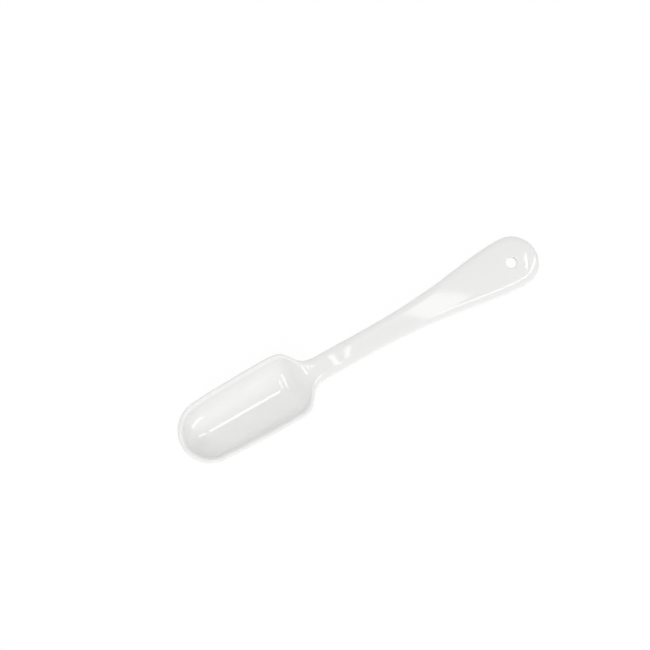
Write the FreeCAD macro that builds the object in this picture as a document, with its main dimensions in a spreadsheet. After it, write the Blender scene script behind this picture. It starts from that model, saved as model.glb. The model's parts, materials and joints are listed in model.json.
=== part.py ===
# Sugar spoon pressed from one sheet and enamelled white, millimetres.
# Its own frame before placing: x runs from the bowl's tip to the handle's end,
# y across, z up, with z = 0 at the middle of the wall along the bowl's rim.
import FreeCAD, Part
import math
import os
import Sketcher

doc = FreeCAD.newDocument("SugarSpoon")

# Driving dimensions
sheet = doc.addObject("Spreadsheet::Sheet", "Dims")
dimensions = [
    ("length", 135.0, "tip of the bowl to end of the handle, seen from above"),
    ("wall", 1.4, "steel with the enamel on both sides"),
    ("tip_width", 21.6, "bowl where its round tip begins"),
    ("bowl_width", 23.5, "bowl at its shoulders"),
    ("bowl_depth", 7.0, "rim down to the floor inside"),
    ("shoulder_at", 45.0, "tip to the middle of the shoulder curve"),
    ("shoulder_run", 2.7, "how softly the shoulders draw in"),
    ("ramp_at", 43.3, "tip to half way up the ramp from floor to neck"),
    ("ramp_run", 3.3, "how softly the ramp climbs"),
    ("neck_width", 8.2, "handle at its narrowest"),
    ("neck_at", 57.0, "tip to the neck, where the handle bends down"),
    ("bend_run", 1.6, "how softly the handle bends at the neck"),
    ("handle_dish", 0.1, "hollow of the handle's upper face"),
    ("end_width", 17.9, "handle where its round end begins"),
    ("flare_power", 1.75, "how late the handle widens"),
    ("hole_diameter", 3.9, "hanging hole"),
    ("hole_from_end", 9.7, "centre of the hole to the handle's end"),
    ("hole_lip", 0.35, "enamel rounded over the edge of the hole"),
]
for row, (alias, value, note) in enumerate(dimensions, start=1):
    sheet.set(f"A{row}", note)
    sheet.set(f"B{row}", str(value))
    sheet.setAlias(f"B{row}", alias)
doc.recompute()

# Even steps between the two round ends, and pieces along each arc of a section
STEPS = 48
ARC_PIECES = 16
EDGE_PIECES = 8
HALF_TURN = 180
tip_centre = "(Dims.tip_width / 2)"
end_centre = "(Dims.length - Dims.end_width / 2)"

body = doc.addObject("PartDesign::Body", "Spoon")
body.Label = "spoon"


def origin_plane(role):
    """The body's own origin plane with this role."""
    return next(plane for plane in body.Origin.OriginFeatures if plane.Role == role)


def ease_out(centre, run, position):
    """Text of a smooth step from 1 down to 0, half way down at centre."""
    return f"(1 - tanh(({position} - {centre}) / {run})) / 2"


def handle_fall():
    """Text of the handle's slope: it comes down to the level of the bowl's underside."""
    return "(Dims.bowl_depth / (Dims.length - Dims.neck_at))"


def height(position):
    """Text of the sheet's level along the spoon: level, then a soft bend, then straight."""
    return f"-{handle_fall()} * Dims.bend_run * log(1 + exp(({position} - Dims.neck_at) / Dims.bend_run))"


def pitch(position):
    """Text of the angle by which the sheet looks down along the spoon, in degrees."""
    return f"atan({handle_fall()} / (1 + exp((Dims.neck_at - {position}) / Dims.bend_run)))"


def outer_reach(position):
    """Text of half the outer width: bowl, shoulders, neck and the widening handle."""
    side = (f"(Dims.tip_width + (Dims.bowl_width - Dims.tip_width) * "
            f"(1 - exp((Dims.tip_width / 2 - {position}) / Dims.tip_width * 2)))")
    drawn_in = ease_out("Dims.shoulder_at", "Dims.shoulder_run", position)
    share = f"(max(0; {position} - Dims.neck_at) / ({end_centre} - Dims.neck_at))"
    widening = f"(1 - cos(180 * {share} ^ Dims.flare_power)) / 2"
    return (f"(Dims.neck_width + ({side} - Dims.neck_width) * {drawn_in} + "
            f"(Dims.end_width - Dims.neck_width) * {widening}) / 2")


def hollow_depth(position):
    """Text of the depth of the section: full in the bowl, then the ramp up to the neck."""
    return (f"(Dims.handle_dish + (Dims.bowl_depth - Dims.handle_dish) * "
            f"{ease_out('Dims.ramp_at', 'Dims.ramp_run', position)})")


def section_sketch(name, position):
    """Half a cut through the sheet: two arcs about one centre, joined by the round edge.

    The arc half way through the wall ends in the middle of the edge, and its lowest
    point lies hollow below that.
    """
    sketch = body.newObject("Sketcher::SketchObject", name)
    sketch.AttachmentSupport = [(origin_plane("YZ_Plane"), "")]
    sketch.MapMode = "FlatFace"
    sketch.AttachmentOffset = FreeCAD.Placement(
        FreeCAD.Vector(), FreeCAD.Rotation(FreeCAD.Vector(1, 0, 0), 1))
    sketch.setExpression("AttachmentOffset.Base.z", position)
    sketch.setExpression("AttachmentOffset.Base.y", height(position))
    sketch.setExpression("AttachmentOffset.Rotation.Angle", pitch(position))

    # The starting shape is worked out from the same texts, so the solver only confirms it
    span_text = f"({outer_reach(position)} - Dims.wall / 2)"
    hollow = hollow_depth(position)
    bend_text = f"({span_text} ^ 2 / (2 * ({hollow})) + ({hollow}) / 2)"
    span = sketch.evalExpression(span_text)
    bend = sketch.evalExpression(bend_text)
    half_wall = sheet.wall / 2
    centre = FreeCAD.Vector(0, bend - sketch.evalExpression(hollow), 0)
    upright = FreeCAD.Vector(0, 0, 1)
    down = 1.5 * math.pi
    rim = down + math.asin(span / bend)
    inner = Part.ArcOfCircle(Part.Circle(centre, upright, bend - half_wall), down, rim)
    outer = Part.ArcOfCircle(Part.Circle(centre, upright, bend + half_wall), down, rim)
    middle_of_edge = FreeCAD.Vector(span, 0, 0)
    edge = Part.ArcOfCircle(Part.Circle(middle_of_edge, upright, half_wall), rim, rim + math.pi)
    top, rounded, under = sketch.addGeometry([inner, edge, outer], False)

    start, end, middle = 1, 2, 3
    horizontal, vertical, root = -1, -2, -1
    sketch.addConstraint([
        Sketcher.Constraint("Tangent", under, end, rounded, start),
        Sketcher.Constraint("Tangent", rounded, end, top, end),
        Sketcher.Constraint("Coincident", under, middle, top, middle),
        Sketcher.Constraint("PointOnObject", rounded, middle, horizontal),
        Sketcher.Constraint("PointOnObject", top, middle, vertical),
        Sketcher.Constraint("PointOnObject", top, start, vertical),
        Sketcher.Constraint("PointOnObject", under, start, vertical),
    ])
    sizes = [
        ("Span", Sketcher.Constraint("DistanceX", root, start, rounded, middle, span), span_text),
        ("Inner", Sketcher.Constraint("Radius", top, bend - half_wall), f"{bend_text} - Dims.wall / 2"),
        ("Outer", Sketcher.Constraint("Radius", under, bend + half_wall), f"{bend_text} + Dims.wall / 2"),
    ]
    for label, constraint, formula in sizes:
        index = sketch.addConstraint(constraint)
        sketch.renameConstraint(index, label)
        sketch.setExpression(f"Constraints.{label}", formula)
    return sketch


def section_points(sketch):
    """Points along a section: its inner arc from the middle out, its edge, its outer arc back."""
    place = sketch.getGlobalPlacement()
    row = []
    for arc, pieces, outward in zip(sketch.Geometry, (ARC_PIECES, EDGE_PIECES, ARC_PIECES), (1, 0, 0)):
        first, last = arc.FirstParameter, arc.LastParameter
        if not outward:
            first, last = last, first
        for piece in range(1 if row else 0, pieces + 1):
            row.append(place.multVec(arc.value(first + (last - first) * piece / pieces)))
    return row


def round_end(sketch, curve, turn):
    """Faces of a round end: a line of the last cut, turned about the section's upright axis."""
    place = sketch.getGlobalPlacement()
    upright = place.Rotation.multVec(FreeCAD.Vector(0, 1, 0))
    return curve.toShape().revolve(place.Base, upright, turn).Faces


# Cuts at even steps from the middle of the round tip to the middle of the round end
sections = []
for step in range(STEPS + 1):
    where = f"({tip_centre} + ({end_centre} - {tip_centre}) * {step} / {STEPS})"
    sections.append(section_sketch(f"Section{step}", where))
doc.recompute()

# The pressed sheet: a smooth skin through the cuts, parted where the arcs of the cuts meet, so
# that the inner face, the edge and the outer face are faces of their own, with their mirror
# images and round ends
skin = Part.BSplineSurface()
skin.interpolate([section_points(sketch) for sketch in sections])
near, far, centreline_inside, centreline_outside = skin.bounds()
knots = skin.getVKnots()
partings = [centreline_inside, knots[ARC_PIECES], knots[ARC_PIECES + EDGE_PIECES], centreline_outside]
faces = []
for start, stop in zip(partings, partings[1:]):
    strip = skin.copy()
    strip.segment(near, far, start, stop)
    face = strip.toShape()
    faces += [face, face.mirror(FreeCAD.Vector(), FreeCAD.Vector(0, 1, 0))]
    faces += round_end(sections[0], strip.uIso(near), HALF_TURN)
    faces += round_end(sections[-1], strip.uIso(far), -HALF_TURN)
shell = Part.makeShell(faces)
shell.sewShape()
pressed = doc.addObject("Part::Feature", "PressedSheet")
pressed.Shape = Part.makeSolid(shell)
body.BaseFeature = pressed
doc.recompute()

# Hanging hole, square to the handle, with the enamel rounded over both edges
hole_centre = "(Dims.length - Dims.hole_from_end)"
hole_sketch = body.newObject("Sketcher::SketchObject", "HoleCircle")
hole_sketch.AttachmentSupport = [(origin_plane("XY_Plane"), "")]
hole_sketch.MapMode = "FlatFace"
hole_sketch.AttachmentOffset = FreeCAD.Placement(
    FreeCAD.Vector(), FreeCAD.Rotation(FreeCAD.Vector(0, 1, 0), 1))
hole_sketch.setExpression("AttachmentOffset.Base.x", hole_centre)
hole_sketch.setExpression("AttachmentOffset.Base.z", height(hole_centre))
hole_sketch.setExpression("AttachmentOffset.Rotation.Angle", pitch(hole_centre))
hole_sketch.addGeometry(
    Part.Circle(FreeCAD.Vector(), FreeCAD.Vector(0, 0, 1), sheet.hole_diameter / 2), False)
hole_sketch.addConstraint(Sketcher.Constraint("Coincident", 0, 3, -1, 1))
hole_sketch.addConstraint(Sketcher.Constraint("Diameter", 0, sheet.hole_diameter))
hole_sketch.setExpression("Constraints[1]", "Dims.hole_diameter")
hole = body.newObject("PartDesign::Pocket", "HangingHole")
hole.Profile = hole_sketch
hole.Midplane = True
hole.Type = "Length"
# Twice the wall each way, so the cut leaves the sheet on both sides
hole.setExpression("Length", "4 * Dims.wall")
doc.recompute()
middle_of_hole = hole_sketch.getGlobalPlacement().Base
assert body.BaseFeature.Shape.common(Part.Vertex(middle_of_hole)).Vertexes, "no sheet at the hole"
assert not hole.Shape.common(Part.Vertex(middle_of_hole)).Vertexes, "the hole cuts nothing"

# The rims of the hole are the edges that stay near it and don't run across the wall
lip_edges = []
for number, edge in enumerate(hole.Shape.Edges, start=1):
    across_wall = edge.BoundBox.ZLength > sheet.wall / 2
    reach = max(math.hypot(point.X - (sheet.length - sheet.hole_from_end), point.Y)
                for point in edge.Vertexes)
    if reach < sheet.hole_diameter and not across_wall:
        lip_edges.append(f"Edge{number}")
lip = body.newObject("PartDesign::Fillet", "HoleLip")
lip.Base = (hole, lip_edges)
lip.setExpression("Radius", "Dims.hole_lip")
body.Tip = lip

# The origin is under the middle of the spoon, at the level that it rests on
body.setExpression("Placement.Base.x", "-Dims.length / 2")
body.setExpression("Placement.Base.z", "Dims.bowl_depth + Dims.wall / 2")
doc.recompute()

# Nothing is written unless every object is sound
faults = [thing.Label for thing in doc.Objects if {"Invalid", "Error"} & set(thing.State)]
if faults or body.Shape.isNull() or not body.Shape.isValid():
    raise RuntimeError(f"failed: {faults}")
os.makedirs("parts", exist_ok=True)
body.Shape.exportStep(f"parts/{body.Label}.step")
box = body.Shape.BoundBox
print(f"spoon {box.XLength:.2f} x {box.YLength:.2f} x {box.ZLength:.2f} mm, "
      f"lowest {box.ZMin:.3f}, {body.Shape.Volume:.0f} cubic mm, "
      f"{len(body.Shape.Solids)} solid, {len(body.Shape.Faces)} faces")
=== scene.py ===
# %% [markdown]
# # An enamelled sugar spoon
# The real spoon is one sheet of steel, pressed in a single stroke into a small trough of a bowl, a narrow
# neck and a broad handle with a hole to hang it by, and then dipped in white enamel. This lesson dresses
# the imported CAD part: it loads it, lays one smooth skin over its form, glazes that skin, and lights it.

import json

import bmesh
import bpy
import numpy as np
from mathutils import Matrix, Vector


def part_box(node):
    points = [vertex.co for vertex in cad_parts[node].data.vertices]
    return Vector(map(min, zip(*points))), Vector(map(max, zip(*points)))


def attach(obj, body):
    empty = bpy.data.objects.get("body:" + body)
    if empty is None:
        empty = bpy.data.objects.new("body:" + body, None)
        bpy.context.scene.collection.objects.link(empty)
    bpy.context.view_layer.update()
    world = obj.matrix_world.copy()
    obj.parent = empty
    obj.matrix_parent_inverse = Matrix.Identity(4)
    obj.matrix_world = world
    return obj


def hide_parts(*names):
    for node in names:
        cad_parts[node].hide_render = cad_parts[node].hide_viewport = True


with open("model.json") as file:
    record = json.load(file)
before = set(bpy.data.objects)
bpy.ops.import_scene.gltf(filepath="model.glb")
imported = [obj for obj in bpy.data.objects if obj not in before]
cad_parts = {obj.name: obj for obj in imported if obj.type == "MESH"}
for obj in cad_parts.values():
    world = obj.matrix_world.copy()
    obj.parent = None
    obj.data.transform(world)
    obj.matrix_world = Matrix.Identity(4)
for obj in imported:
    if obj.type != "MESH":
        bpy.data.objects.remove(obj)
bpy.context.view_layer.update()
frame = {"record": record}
MM = 0.001

# %% [markdown]
# ## The sizes
# A modeller could pull vertices until the shape looks right, but a pressed part is described by a few
# lengths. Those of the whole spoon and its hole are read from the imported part, so the skin follows the
# part if it changes. Blender counts in metres, so a length is written as a number of millimetres, MM,
# and places along the spoon are counted from the tip of the bowl.

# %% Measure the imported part
low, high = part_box("spoon")
tip_x = low.x
length = high.x - low.x
bowl_width = high.y - low.y
hole = frame["record"]["mounts"][0]
hole_at = hole["pos_m"][0] - tip_x
hole_radius = hole["dims"]["r_mm"] * MM
print(f"length {length / MM:.1f} mm, hole at {hole_at / MM:.1f} mm with radius {hole_radius / MM:.2f} mm")

# %% [markdown]
# The rest are the press tool's own sizes: how thick the glazed sheet is, how wide and deep it is pressed,
# where the shoulder, the ramp out of the bowl and the neck lie, and how gently each of them turns.

# %% List the press tool's sizes
wall = 1.4 * MM
tip_width = 21.6 * MM
bowl_depth = 7.0 * MM
shoulder_at, shoulder_run = 45.0 * MM, 2.7 * MM
ramp_at, ramp_run = 43.3 * MM, 3.3 * MM
neck_width, neck_at = 8.2 * MM, 57.0 * MM
bend_run = 1.6 * MM
end_width = 17.9 * MM
flare_power = 1.75
handle_dish = 0.02 * MM
print(f"a sheet {wall / MM:.1f} mm thick, pressed {bowl_depth / MM:.1f} mm deep")

# %% [markdown]
# Last come the fine sizes. Molten glass pulls back from a cut edge and gathers beside it, so the edges are
# drawn here as a soft nose, with a bead inside the bowl's rim. The handle is arched very slightly too, and
# that is the sheet's own form, because both of its faces bend. None of these can be measured on one
# picture from above. They are guesses, chosen by where the highlights fall.

# %% List the fine sizes
bowl_nose, handle_nose = 1.15 * MM, 2.4 * MM
bead_height, bead_power = 0.3 * MM, 12
crown_radius = 150 * MM
lip = 0.35 * MM
print(f"bead {bead_height / MM:.2f} mm, lip of the hole {lip / MM:.2f} mm")

# %% [markdown]
# From these follow the centres of the two round ends, the height of the rim, and the fall of the handle.
# The handle starts level with the rim and comes down just far enough for its arched end to touch the table.

# %% Work out what follows from them
tip_centre = tip_width / 2
end_centre = length - end_width / 2
rim_height = high.z - wall / 2
crown_drop = (end_width / 2) ** 2 / (2 * crown_radius)
fall = (rim_height - wall / 2 - crown_drop) / (length - neck_at)
print(f"the handle falls {np.degrees(np.arctan(fall)):.2f} degrees toward its end")

# %% [markdown]
# ## The outline, as a law
# Seen from above, the spoon widens quickly behind its round tip, runs nearly straight, comes in over two
# soft shoulders to the neck, and flares again along the handle. A traced outline would hold the wobbles of
# the tracing. A hyperbolic tangent makes a clean soft step instead, and half a wave of a cosine makes the
# flare. Each law takes a whole array of places, so one call answers for every vertex.


# %% Write the law of the outline
def soft_step(x, middle, run):
    """Falls from 1 to 0 round a middle: half of one less the hyperbolic tangent of the distance over
    the run."""
    return (1 - np.tanh((x - middle) / run)) / 2


def half_width(x):
    """Half the spoon's width: the bowl's side, which eases out from the tip as one less an exponential,
    fades at the shoulder into the neck, and half a cosine wave over the handle, bent by a power, adds
    the flare."""
    side = tip_width + (bowl_width - tip_width) * (1 - np.exp((tip_centre - x) / tip_centre))
    share = np.clip((x - neck_at) / (end_centre - neck_at), 0, 1) ** flare_power
    flare = (end_width - neck_width) * (1 - np.cos(np.pi * share)) / 2
    return (neck_width + (side - neck_width) * soft_step(x, shoulder_at, shoulder_run) + flare) / 2


widths = [2 * half_width(tip_centre), 2 * half_width(neck_at), 2 * half_width(end_centre)]
print("wide at the tip, the neck and the end:", ", ".join(f"{width / MM:.1f}" for width in widths), "mm")

# %% [markdown]
# ## The hollow and the fall of the handle
# Seen from the side, the bowl's floor runs level and then climbs a ramp to the neck, and behind the neck
# the handle bends down. The ramp is the same soft step again. The bend needs a line that is level before
# a corner and slopes after it, and the logarithm of one plus an exponential is such a line.


# %% Write the laws of the side view
def hollow(x):
    """Depth of the pressed hollow: the bowl's depth, let go over the ramp, and a trace of dish on the
    handle."""
    return handle_dish + (bowl_depth - handle_dish) * soft_step(x, ramp_at, ramp_run)


def level(x):
    """Height of the sheet's middle at the rim: the rim's height less the fall times the bend's run times
    the logarithm of one plus an exponential."""
    return rim_height - fall * bend_run * np.log1p(np.exp((x - neck_at) / bend_run))


def slope(x):
    """Angle of the handle's fall, which grows through the bend from nothing to the whole: the arctangent
    of how fast the level falls."""
    return np.arctan(fall / (1 + np.exp((neck_at - x) / bend_run)))


print(f"the bowl is {hollow(tip_centre) / MM:.2f} mm deep, the handle {hollow(end_centre) / MM:.2f} mm")

# %% [markdown]
# ## The fine shapes
# Three small laws carry the fine sizes along the spoon. Each holds one value on the bowl and another on
# the handle, and the shoulder's soft step leads from one to the other without a visible seam.


# %% Write the laws of the fine shapes
def crown(x, across):
    """How far both faces of the handle arch down below its middle: the square of the distance across over
    twice the crown's radius, let in past the shoulder."""
    return across**2 / (2 * crown_radius) * (1 - soft_step(x, shoulder_at, shoulder_run))


def edge_reach(x):
    """Length of the rounded edge: the bowl's, which changes over the shoulder into the handle's."""
    return handle_nose + (bowl_nose - handle_nose) * soft_step(x, shoulder_at, shoulder_run)


def bead(x):
    """Extra thickness of the enamel inside the bowl's rim, which is let go at the shoulder."""
    return bead_height * soft_step(x, shoulder_at, shoulder_run)


print(f"the handle's end is arched by {crown(end_centre, end_width / 2) / MM:.2f} mm")

# %% [markdown]
# ## The cross-section
# Cut across, the sheet is an arc of even thickness with rounded edges. Solidify could thicken a surface
# and Bevel round its edge, but then the edge would be a plain round. Here the middle of the sheet is an
# arc through both rims and the bottom of the hollow, its two faces are arcs half a wall inside and outside
# it, and half an ellipse closes each edge. The ellipse is longer than the wall is thick, which gives the
# soft nose, and the bead thickens it on its inner side.


# %% Write the cross-section
def arc(x):
    """Radius of the middle arc and the angle from the bottom to where the edge begins. The radius through
    three points is the half span squared over twice the depth, plus half the depth. The rim's angle is
    the arcsine of the half span over that radius, and the edge begins a little before it."""
    span = half_width(x) - wall / 2
    depth = hollow(x)
    radius = span**2 / (2 * depth) + depth / 2
    return radius, np.arcsin(span / radius) - (edge_reach(x) - wall / 2) / radius


def face_height(x, across, side):
    """Height of a face over the rim's middle, at a distance across from the centreline: the height of the
    arc's centre, less the leg of a right triangle that has the face's radius and that distance as its
    other sides, less the crown. Side is -1 for the inner face and 1 for the outer. Toward the rim the
    inner face comes in by the bead times a high power of the distance's share of the whole."""
    radius, angle = arc(x)
    face = radius + side * wall / 2
    if side < 0:
        share = across / ((face - bead(x)) * np.sin(angle))
        face = face - bead(x) * np.clip(share, 0, 1) ** bead_power
    return radius - hollow(x) - np.sqrt(face**2 - across**2) - crown(x, across)


def edge_profile(x, turn):
    """Half an ellipse from the inner face, at turn 0, round to the outer one, at turn pi, as distance
    across and height. Its long half axis lies along the sheet. Its short one is half the wall, plus the
    bead at the inner face, which is let go toward the outer one by half of one plus the cosine."""
    radius, angle = arc(x)
    reach = edge_reach(x)
    thick = wall / 2 + bead(x) * (1 + np.cos(turn)) / 2
    across = radius * np.sin(angle) + reach * np.sin(turn) * np.cos(angle)
    across = across - thick * np.cos(turn) * np.sin(angle)
    height = radius - hollow(x) - radius * np.cos(angle) + reach * np.sin(turn) * np.sin(angle)
    return across, height + thick * np.cos(turn) * np.cos(angle) - crown(x, across)


print(f"the bowl's arc has a radius of {arc(tip_centre)[0] / MM:.1f} mm")

# %% [markdown]
# ## The path round the spoon
# A grid laid from side to side would end in a ragged tip, and the hole would cut its squares. Instead the
# grid runs round the spoon as a fence does: one half of the cross-section is carried along a closed path,
# along one side from the tip, half round the end, back along the other side and half round the tip. Each
# place on the path has a station along the spoon and a way to look, out to the side or round an end.

# %% Lay out the path
TURN_STEPS = 48
SIDE_STEPS = 230

side_run = np.linspace(tip_centre, end_centre, SIDE_STEPS, endpoint=False)
side_step = side_run[1] - side_run[0]
turn_run = np.linspace(0, np.pi, TURN_STEPS, endpoint=False)
path_x = np.concatenate(
    [
        side_run,
        np.full(TURN_STEPS, end_centre),
        side_run[::-1] + side_step,
        np.full(TURN_STEPS, tip_centre),
    ]
)
path_turn = np.concatenate(
    [
        np.full(SIDE_STEPS, -np.pi / 2),
        turn_run - np.pi / 2,
        np.full(SIDE_STEPS, np.pi / 2),
        turn_run + np.pi / 2,
    ]
)
path_way = np.stack([np.cos(path_turn), np.sin(path_turn)], axis=1)
middle_line = np.stack([path_x, np.zeros(len(path_x))], axis=1)
print(len(path_x), "places on the path")

# %% [markdown]
# Each half cross-section starts at a foot on the centreline. Near the hole the feet step onto its lip, so
# the hole is part of the grid: while the path goes round the handle's end, the foot goes once round the
# lip. On the way there the feet drift forward in a smooth ease, so that no square is pinched. Where a foot
# stands has no effect on the form, because the heights are worked out afterwards.

# %% Place the foot of each cross-section
ring_before_hole = 6.5 * MM
drift_run = 22 * MM
lip_radius = hole_radius + lip
ring_from = hole_at - ring_before_hole
drift_from = ring_from - drift_run

share = np.clip((path_x - drift_from) / drift_run, 0, 1)
drift = (hole_at - lip_radius - ring_from) * share**2 * (3 - 2 * share)
foot = np.stack([path_x + drift, np.zeros(len(path_x))], axis=1)

# The lip is shared out by the bearing of each place on the outline, as seen from the hole.
on_ring = path_x >= ring_from
outline_across, _ = edge_profile(path_x, np.zeros(len(path_x)))
outline = middle_line + path_way * outline_across[:, None]
bearing = np.unwrap(np.arctan2(outline[on_ring, 1], outline[on_ring, 0] - hole_at))
bearing = np.interp(bearing, [bearing[0], 0, bearing[-1]], [-np.pi, 0, np.pi])
lip_way = np.stack([np.cos(bearing), np.sin(bearing)], axis=1)
foot[on_ring] = np.array([hole_at, 0]) + lip_radius * lip_way
print(len(lip_way), "cross-sections stand on the lip of the hole")

# %% [markdown]
# ## From the plan to space
# Every vertex will have a place in plan. Its height comes from the laws, and the handle's fall tilts it.
# The two round ends turn about an upright axis, so there the distance from that axis stands in for the
# distance from the centreline, and the station stays at the axis.


# %% Lift the plan into space
def lift(x, across, along, height):
    """Point over a plan place: the station's own point at the rim's level, the height laid off square to
    the handle's fall, and what lies beyond a round end's centre laid off along it."""
    tilt = slope(x)
    return np.stack(
        [
            tip_x + x + along * np.cos(tilt) + height * np.sin(tilt),
            across,
            level(x) - along * np.sin(tilt) + height * np.cos(tilt),
        ],
        axis=-1,
    )


def face_points(plan, side):
    """Points of a face over plan places. The station is the place along the spoon, held between the round
    ends' centres, and the distance across is the hypotenuse of what lies beside and beyond it."""
    x = np.clip(plan[..., 0], tip_centre, end_centre)
    along = plan[..., 0] - x
    distance = np.hypot(along, plan[..., 1])
    return lift(x, plan[..., 1], along, face_height(x, distance, side))


underside = face_points(np.array([tip_centre, 0.0]), 1)
print(f"the bowl's underside is {underside[2] / MM:.3f} mm above the table")

# %% [markdown]
# ## The skin
# Now the half cross-section is carried round. Its vertices run over the inner face from the foot to the
# edge, round the edge, and back over the outer face to the foot below. Gloss shows every facet, so the
# steps are crowded where the surface curves most: outward on the faces, and at the tip of the edge.

# %% Work out the skin
FACE_STEPS = 22
EDGE_STEPS = 18
face_crowding = 1.1
edge_crowding = 0.3

fraction = np.linspace(0, 1, FACE_STEPS + 1)
fraction = np.sin(fraction * face_crowding) / np.sin(face_crowding)
turns = np.linspace(0, np.pi, EDGE_STEPS + 1)
turns = turns + edge_crowding * np.sin(2 * turns)


def face_grid(side, reach):
    """Points of one face. Each row goes in plan from its foot straight to where the edge begins, which is
    the reach away from the centreline. Its steps shorten outward as a sine does toward its crest."""
    rim = middle_line + path_way * reach[:, None]
    plan = foot[:, None, :] + (rim - foot)[:, None, :] * fraction[None, :, None]
    return face_points(plan, side)


edge_across, edge_height = edge_profile(path_x[:, None], turns[None, :])
edge = lift(path_x[:, None], path_way[:, 1:] * edge_across, path_way[:, :1] * edge_across, edge_height)
inner = face_grid(-1, edge_across[:, 0])
outer = face_grid(1, edge_across[:, -1])
skin = np.concatenate([inner[:, :-1], edge, outer[:, ::-1][:, 1:]], axis=1)
print("skin grid", skin.shape[:2])

# %% [markdown]
# ## The lip of the hole
# Enamel rounds the punched edge on both faces. A quarter circle leads from the upper face down into the
# bore, and another out to the lower face. A Boolean would cut the hole too, but it leaves long thin faces
# that shade badly. This grid starts and ends on the skin's own ring of feet, so the two meet without a gap.

# %% Work out the lip
LIP_STEPS = 6
ring_top = inner[on_ring, 0]
ring_bottom = outer[on_ring, 0]
quarter = np.linspace(0, np.pi / 2, LIP_STEPS + 1)
inward = np.concatenate([np.sin(quarter), np.sin(quarter[::-1])]) * lip
down = (1 - np.cos(quarter)) * lip / wall
depth_share = np.concatenate([down, 1 - down[::-1]])
toward_hole = np.concatenate([-lip_way, np.zeros((len(lip_way), 1))], axis=1)
bore = ring_top[:, None] + (ring_bottom - ring_top)[:, None] * depth_share[None, :, None]
bore = bore + toward_hole[:, None] * inward[None, :, None]
print("lip grid", bore.shape[:2])

# %% [markdown]
# ## Making the mesh
# A grid becomes faces by naming, for each square, its four corners in order. The skin's grid closes on
# itself round the spoon, so its last row is joined to its first. The lip's grid begins and ends at the
# same place, and the feet on the centreline are shared by both sides, so doubles are merged later.


# %% Turn the grids into one mesh
def grid_faces(rows, columns, first, closed):
    """Corner numbers of every square in a grid, row by row, counted on from the grid's first vertex. A
    vertex's number is its row times the columns plus its column."""
    row = np.arange(rows if closed else rows - 1)[:, None]
    column = np.arange(columns - 1)[None, :]
    following = (row + 1) % rows
    corners = [row * columns + column, following * columns + column]
    corners += [following * columns + column + 1, row * columns + column + 1]
    return first + np.stack(corners, axis=-1).reshape(-1, 4)


skin_rows, skin_columns = skin.shape[:2]
bore_rows, bore_columns = bore.shape[:2]
skin_faces = grid_faces(skin_rows, skin_columns, 0, True)
bore_faces = grid_faces(bore_rows, bore_columns, skin_rows * skin_columns, False)[:, ::-1]
vertices = np.concatenate([skin.reshape(-1, 3), bore.reshape(-1, 3)])
faces = np.concatenate([skin_faces, bore_faces])
mesh = bpy.data.meshes.new("enamelled_spoon")
mesh.from_pydata(vertices.tolist(), [], faces.tolist())
print(len(vertices), "vertices and", len(faces), "squares")

# %% [markdown]
# Merging is done on a BMesh, Blender's editable copy of a mesh. Vertices that share a place become one,
# the squares that stand on one foot become triangles, and all faces are turned outward. An edge that
# doesn't lie between exactly two faces would be a leak, so these are counted.

# %% Close the skin
merge_distance = 0.001 * MM
shell = bmesh.new()
shell.from_mesh(mesh)
bmesh.ops.remove_doubles(shell, verts=shell.verts, dist=merge_distance)
bmesh.ops.recalc_face_normals(shell, faces=shell.faces)
leaks = sum(1 for line in shell.edges if not line.is_manifold)
volume = shell.calc_volume(signed=True)
print(len(shell.faces), "faces,", leaks, "open edges, volume", round(volume / MM**3), "cubic mm")
shell.to_mesh(mesh)
shell.free()
mesh.shade_smooth()

# %% [markdown]
# The mesh becomes an object at the origin, unturned and unscaled, because its vertices already stand
# where the CAD part does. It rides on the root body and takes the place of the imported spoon.

# %% Put the spoon in the scene
spoon = bpy.data.objects.new("enamelled_spoon", mesh)
bpy.context.scene.collection.objects.link(spoon)
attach(spoon, "root")
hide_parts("spoon")
print("spoon", [round(v / MM, 2) for v in spoon.dimensions], "mm")

# %% [markdown]
# ## Shader maths in Python
# A material is a graph of nodes, but its maths reads better as a line of Python. This small class wraps
# the socket that gives a number, and its operators add the Math nodes. Every other node comes from one
# method too, and a function fills the inputs of a node that is already there.


# %% Wrap a socket
def feed(node, inputs):
    """Fills inputs of a node, named or numbered: with a link from a wrapped socket, or with a plain value."""
    for key, value in inputs.items():
        if isinstance(value, Value):
            node.id_data.links.new(value.socket, node.inputs[key])
        else:
            node.inputs[key].default_value = value


class Value:
    """What a shader node gives, held as its output socket; operators on numbers add Math nodes."""

    def __init__(self, socket):
        self.socket = socket

    @staticmethod
    def node(tree, kind, settings, inputs, output=0):
        """Adds a node of a kind, applies its settings, feeds its inputs, and wraps one of its outputs."""
        made = tree.nodes.new(kind)
        for name, setting in settings.items():
            setattr(made, name, setting)
        feed(made, inputs)
        return Value(made.outputs[output])

    def maths(self, operation, first, second):
        """Adds a Math node to this socket's own tree, for an operation on two numbers."""
        settings = {"operation": operation}
        return Value.node(self.socket.id_data, "ShaderNodeMath", settings, {0: first, 1: second})

    def __add__(self, other):
        return self.maths("ADD", self, other)

    def __sub__(self, other):
        return self.maths("SUBTRACT", self, other)

    def __rsub__(self, other):
        return self.maths("SUBTRACT", other, self)

    def __mul__(self, other):
        return self.maths("MULTIPLY", self, other)

    __radd__ = __add__
    __rmul__ = __mul__

    def higher(self, other):
        """The higher of two numbers."""
        return self.maths("MAXIMUM", self, other)


# %% [markdown]
# ## The enamel
# Enamel is glass: a pale body under a hard, clear gloss. Its white is never quite even, and the molten
# glass draws up into a faint swell. An image could hold both, but it would need a flat map of the spoon.
# Two noise patterns read from the object's own coordinates need none, and they stay on the spoon when it
# is turned. The unevenness mixes two whites, and the swell bends the gloss as waves of about a
# hundredth of a millimetre would.

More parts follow.
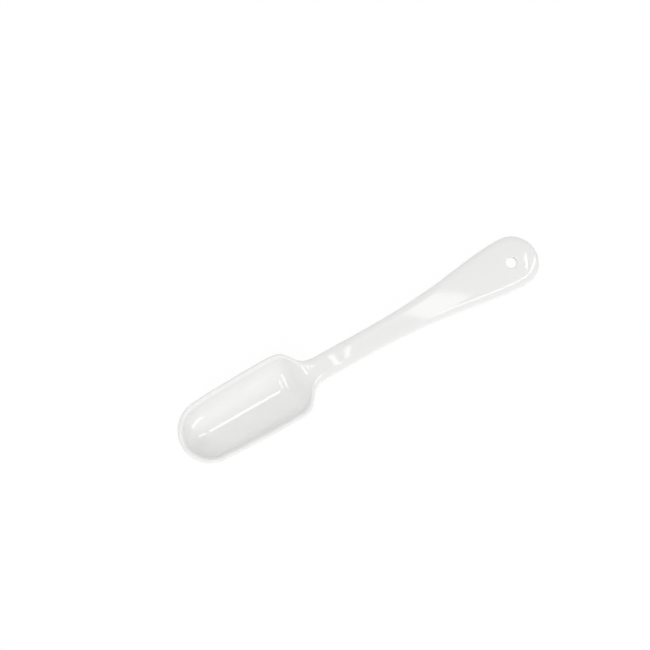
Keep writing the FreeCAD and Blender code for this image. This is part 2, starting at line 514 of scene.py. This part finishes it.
# %% Mix the enamel
deeper_white = (0.90, 0.90, 0.892, 1)
lighter_white = (0.92, 0.92, 0.912, 1)
swell_height = 0.04 * MM

enamel = bpy.data.materials.new("white_enamel")
enamel.use_nodes = True
tree = enamel.node_tree
place = Value.node(tree, "ShaderNodeTexCoord", {}, {}, "Object")
unevenness = Value.node(tree, "ShaderNodeTexNoise", {}, {"Vector": place, "Scale": 60.0, "Detail": 2.0})
whites = {0: unevenness, 6: deeper_white, 7: lighter_white}
tint = Value.node(tree, "ShaderNodeMix", {"data_type": "RGBA"}, whites, 2)
swell = Value.node(tree, "ShaderNodeTexNoise", {}, {"Vector": place, "Scale": 220.0, "Detail": 1.0})
waves = {"Height": swell, "Strength": 0.3, "Distance": swell_height}
bent = Value.node(tree, "ShaderNodeBump", {}, waves)
feed(
    tree.nodes["Principled BSDF"],
    {
        "Base Color": tint,
        "Normal": bent,
        "Roughness": 0.05,
        "IOR": 1.5,
        "Coat Weight": 0.5,
        "Coat Roughness": 0.03,
    },
)
mesh.materials.append(enamel)
print("enamel of", len(tree.nodes), "nodes")

# %% [markdown]
# ## A floor and a background of plain white
# In a picture such as this the paper is pure white all over, while the spoon keeps its soft greys. Lamps
# strong enough to whiten the paper would bleach the spoon too. The Light Path node knows what a ray is
# for, so the floor and the world can look white to the rays that end in the picture, straight or by way
# of gloss and glass, and still light the spoon at a plain level.


# %% Find the rays that should meet white
def seen_directly(tree):
    """1 for a ray from the camera, or one mirrored or let through on its way, and 0 for one that only
    lights: the highest of three."""
    kinds = ("Is Camera Ray", "Is Glossy Ray", "Is Transmission Ray")
    camera, mirrored, let_through = [Value.node(tree, "ShaderNodeLightPath", {}, {}, kind) for kind in kinds]
    return camera.higher(mirrored).higher(let_through)


# %% [markdown]
# The floor is a plain sheet, a hair below the spoon so that the two never share a plane. Its white hides
# nine tenths of its own shading. The tenth that is kept holds the spoon's shadow, so the spoon still
# stands on something.

# %% Lay the floor
floor_reach = 3.0
floor_gap = 0.2 * MM
kept_shading = 0.1
shining_white = 1.02

corners = [(-1, -1, 0), (1, -1, 0), (1, 1, 0), (-1, 1, 0)]
floor_mesh = bpy.data.meshes.new("floor")
floor_mesh.from_pydata((np.array(corners) * floor_reach).tolist(), [], [(0, 1, 2, 3)])
floor = bpy.data.objects.new("floor", floor_mesh)
floor.location.z = -floor_gap
bpy.context.scene.collection.objects.link(floor)

paper = bpy.data.materials.new("paper")
paper.use_nodes = True
tree = paper.node_tree
sheet = tree.nodes["Principled BSDF"]
feed(sheet, {"Base Color": (0.95, 0.95, 0.95, 1), "Roughness": 0.9})
white = Value.node(tree, "ShaderNodeEmission", {}, {"Strength": shining_white})
share_white = seen_directly(tree) * (1 - kept_shading)
blend = {0: share_white, 1: Value(sheet.outputs[0]), 2: white}
feed(tree.nodes["Material Output"], {"Surface": Value.node(tree, "ShaderNodeMixShader", {}, blend)})
floor_mesh.materials.append(paper)
print("floor", 2 * floor_reach, "m wide")

# %% [markdown]
# The world is the room round about. It gives a low, soft light that comes more from the camera's side
# than from the far side, so that the two walls of the bowl differ in tone. The direction of a ray is its
# Generated coordinate, and the light falls off evenly with that coordinate's Y.

# %% Fill the room with light
room_light = 0.445
room_lean = 0.5

world = bpy.data.worlds.new("studio")
bpy.context.scene.world = world
world.use_nodes = True
tree = world.node_tree
direction = Value.node(tree, "ShaderNodeTexCoord", {}, {}, "Generated")
far_way = Value.node(tree, "ShaderNodeSeparateXYZ", {}, {0: direction}, "Y")
light = room_light * (1 - room_lean * far_way)
strength = light + seen_directly(tree) * (1 - light)
feed(tree.nodes["Background"], {"Color": (1, 1, 1, 1), "Strength": strength})
print("room light", room_light * (1 - room_lean), "to", room_light * (1 + room_lean))

# %% [markdown]
# ## Softboxes
# A glossy white thing is drawn by what it mirrors. In a studio those are softboxes, large panels of even
# light, and Blender's area lamps are the same. The first three are broad. One overhead and one on the far
# side only brighten the spoon, so they are kept out of the gloss, and the near one lights the far wall
# of the bowl and draws a pale line along the near edges.


# %% Set up the broad softboxes
def softbox(name, size, place, brightness, aim=(0, 0, 0), turn=0, mirrored=True):
    """A rectangle of light at a place, facing a point, its first side turned from the x axis by an angle
    in degrees. Its power is brightness times area times pi, so a brightness of 1 looks as white as white
    paper. One that isn't mirrored lights the spoon without showing in its gloss."""
    lamp = bpy.data.lights.new(name, "AREA")
    lamp.shape = "RECTANGLE"
    lamp.size, lamp.size_y = size
    lamp.energy = brightness * size[0] * size[1] * np.pi
    made = bpy.data.objects.new(name, lamp)
    facing = (Vector(place) - Vector(aim)).normalized()
    first = Vector((np.cos(np.radians(turn)), np.sin(np.radians(turn)), 0))
    second = facing.cross(first).normalized()
    axes = Matrix((second.cross(facing), second, facing)).transposed()
    made.matrix_world = Matrix.Translation(place) @ axes.to_4x4()
    made.visible_glossy = mirrored
    bpy.context.scene.collection.objects.link(made)


softbox("overhead", (1.8, 1.6), (0.1, -0.1, 1.5), 0.53, mirrored=False)
softbox("far_side", (1.6, 0.4), (-0.2, 1.3, 0.6), 1.4, mirrored=False)
softbox("near_side", (1.6, 0.3), (0.75, -1.3, 0.7), 2.5)
print(len(bpy.data.lights), "broad softboxes")

# %% [markdown]
# The rest are panels that the gloss does show, each put where the camera's ray goes after it meets the
# spoon. Their highlights are set for that one angle, and from elsewhere they fall differently. The bowl
# is a trough, so it squeezes two panels above it into one bright line along its floor, which turns across
# at the foot of the ramp. The second of them also draws the near edge of the handle. The ramp tips rays
# back past the bowl's tip, so the two panels for its streaks hang out there.

# %% Set up the panels for the bowl
softbox("over_bowl", (0.25, 0.18), (-0.075, 0.02, 1.45), 3.8, aim=(-0.075, 0.02, 0))
softbox("past_bowl", (0.9, 0.16), (0.94, 0.0, 1.4), 3.1)
softbox("by_ramp", (0.26, 1.5), (-1.15, -0.45, 1.3), 3.6)
softbox("along_ramp", (0.12, 0.9), (-0.46, -0.4, 1.4), 3.2)
print(len(bpy.data.lights), "lamps with the bowl's panels")

# %% [markdown]
# Past the bend the handle is nearly a flat mirror that falls away, so it shows what hangs further along
# +X. One wide panel and one narrow panel make the two short streaks on the neck, a third the bright patch
# where the handle flares, and two thin ones the fine streaks by its round end. They are turned a little,
# because the arch of the handle turns their images.

# %% Set up the panels for the handle
panel_height = 1.45
softbox("over_neck", (0.08, 0.42), (0.24, 0.2, panel_height), 2.3, turn=10)
softbox("behind_neck", (0.018, 0.42), (0.374, 0.2, panel_height), 2.6, turn=-26)
softbox("over_handle", (0.062, 0.24), (0.528, 0.255, panel_height), 1.9, aim=(0.03, 0, 0), turn=16)
softbox("over_end", (0.012, 0.12), (0.765, 0.17, panel_height), 8.0, aim=(0.06, 0, 0), turn=-26)
softbox("past_end", (0.02, 0.15), (0.835, 0.12, panel_height), 3.5, aim=(0.06, 0, 0), turn=-26)
print(len(bpy.data.lights), "lamps in all")

# %% [markdown]
# ## The camera
# The spoon is looked at from nearly overhead, across its bowl's tip, with a long lens at half a metre. A
# long lens keeps both ends of a thin thing at about the same scale. The camera's place is worked out from
# two angles and a distance, which are easier to judge than coordinates.

# %% Set up the camera
elevation = np.radians(79.0)
azimuth = np.radians(-29.87)
away = 0.5004
aim = Vector((-0.00659, 0.01294, 0))

camera = bpy.data.cameras.new("camera")
camera.lens = 83.08
camera.sensor_width = 36
viewer = bpy.data.objects.new("camera", camera)
sideways = np.cos(elevation)
back = Vector((np.sin(azimuth) * sideways, -np.cos(azimuth) * sideways, np.sin(elevation)))
viewer.location = aim + back * away
viewer.rotation_euler = back.to_track_quat("Z", "Y").to_euler()
bpy.context.scene.collection.objects.link(viewer)
bpy.context.scene.camera = viewer
bpy.context.scene.view_settings.view_transform = "Standard"
print("camera at", [round(v, 3) for v in viewer.location], "m")
